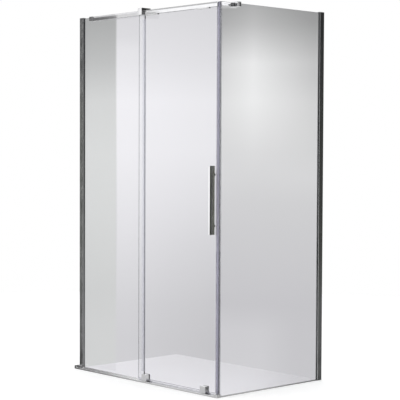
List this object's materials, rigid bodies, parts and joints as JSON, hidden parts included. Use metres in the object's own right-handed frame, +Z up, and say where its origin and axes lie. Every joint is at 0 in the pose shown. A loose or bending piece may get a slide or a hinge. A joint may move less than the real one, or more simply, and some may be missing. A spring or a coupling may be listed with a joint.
{
  "type": "corner shower enclosure",
  "caption": "Corner shower enclosure with a fixed front pane, a sliding glass door hung from a chrome header rail, and a side pane between wall profiles.",
  "frame": {"origin": "on the floor at the sill's underside, halfway along the front panes, under the middle of the door glass", "axes": "+Z up; +X along the sill from the left wall to the closed end of the door; +Y from the front into the enclosure"},
  "size_m": [1.202, 0.803, 2.013],
  "materials": {
    "clear_glass": "polished toughened glass, faintly green at its edges",
    "chrome": "mirror polished",
    "wall_aluminium": "polished grey anodised, with fine lengthwise drawing lines",
    "sill_aluminium": "satin anodised",
    "clear_seal": "translucent soft plastic",
    "magnet_strip": "matt",
    "grey_rubber": "matt",
    "grey_plastic": "moulded, matt",
    "roller_plastic": "smooth",
    "steel": "bright stainless"
  },
  "bodies": {
    "frame": {"bracket_bolt": "steel", "bracket_inner_disc": "chrome", "clamp_grub_screws": "steel", "clamp_liners": "grey_rubber", "corner_angle": "sill_aluminium", "corner_angle_screws": "steel", "door_stop_buffers": "grey_rubber", "door_stop_screws": "steel", "door_stops": "grey_plastic", "fixed_glass": "clear_glass", "fixed_glass_edge_seal": "clear_seal", "fixed_glass_setting_strip": "grey_rubber", "glazing_channel_left": "wall_aluminium", "glazing_channel_rear": "wall_aluminium", "glazing_gaskets": "grey_rubber", "header_rail": "chrome", "profile_feet": "grey_plastic", "profile_screws": "steel", "profile_top_caps": "grey_plastic", "rail_bracket_left": "chrome", "rail_clamp_middle": "chrome", "rail_clamp_side": "chrome", "return_rail": "chrome", "side_closing_magnet": "magnet_strip", "side_closing_profile": "clear_seal", "side_floor_strip": "sill_aluminium", "side_glass": "clear_glass", "sill": "sill_aluminium", "sill_end_block_left": "sill_aluminium", "sill_end_block_right": "sill_aluminium", "wall_profile_left": "wall_aluminium", "wall_profile_rear": "wall_aluminium"},
    "door": {"carriage_left": "grey_plastic", "carriage_right": "grey_plastic", "door_closing_magnet": "magnet_strip", "door_closing_profile": "clear_seal", "door_drip_seals": "clear_seal", "door_glass": "clear_glass", "door_grub_screws": "steel", "guide_shoe_backs": "grey_plastic", "guide_shoe_inserts": "grey_plastic", "guide_shoe_left": "chrome", "guide_shoe_right": "chrome", "handle_bolts": "steel", "handle_inner_discs": "chrome", "handle_liners": "grey_rubber", "handle_outer": "chrome", "hanger_bolts": "steel", "hanger_left": "sill_aluminium", "hanger_lock_nuts": "steel", "hanger_right": "sill_aluminium", "roller_axles": "steel"},
    "roller_pair_1": {"rollers_1": "roller_plastic", "roller_bearings_1": "steel"},
    "roller_pair_2": {"rollers_2": "roller_plastic", "roller_bearings_2": "steel"},
    "roller_pair_3": {"rollers_3": "roller_plastic", "roller_bearings_3": "steel"},
    "roller_pair_4": {"rollers_4": "roller_plastic", "roller_bearings_4": "steel"}
  },
  "joints": [
    {"name": "door_slide", "type": "slide", "parent": "frame", "child": "door", "axis": [-1, 0, 0], "range_m": [0, 0.43]},
    {"name": "roller_turn_1", "type": "hinge", "parent": "door", "child": "roller_pair_1", "pos_m": [0.024, 0, 1.9901], "axis": [0, -1, 0], "range_deg": [-10, 5200]},
    {"name": "roller_turn_2", "type": "hinge", "parent": "door", "child": "roller_pair_2", "pos_m": [0.094, 0, 1.9901], "axis": [0, -1, 0], "range_deg": [-10, 5200]},
    {"name": "roller_turn_3", "type": "hinge", "parent": "door", "child": "roller_pair_3", "pos_m": [0.4215, 0, 1.9901], "axis": [0, -1, 0], "range_deg": [-10, 5200]},
    {"name": "roller_turn_4", "type": "hinge", "parent": "door", "child": "roller_pair_4", "pos_m": [0.4915, 0, 1.9901], "axis": [0, -1, 0], "range_deg": [-10, 5200]}
  ],
  "couplings": [
    {"joint": "roller_turn_1", "follows": "door_slide", "rad_per_m": 208.33},
    {"joint": "roller_turn_2", "follows": "door_slide", "rad_per_m": 208.33},
    {"joint": "roller_turn_3", "follows": "door_slide", "rad_per_m": 208.33},
    {"joint": "roller_turn_4", "follows": "door_slide", "rad_per_m": 208.33}
  ]
}
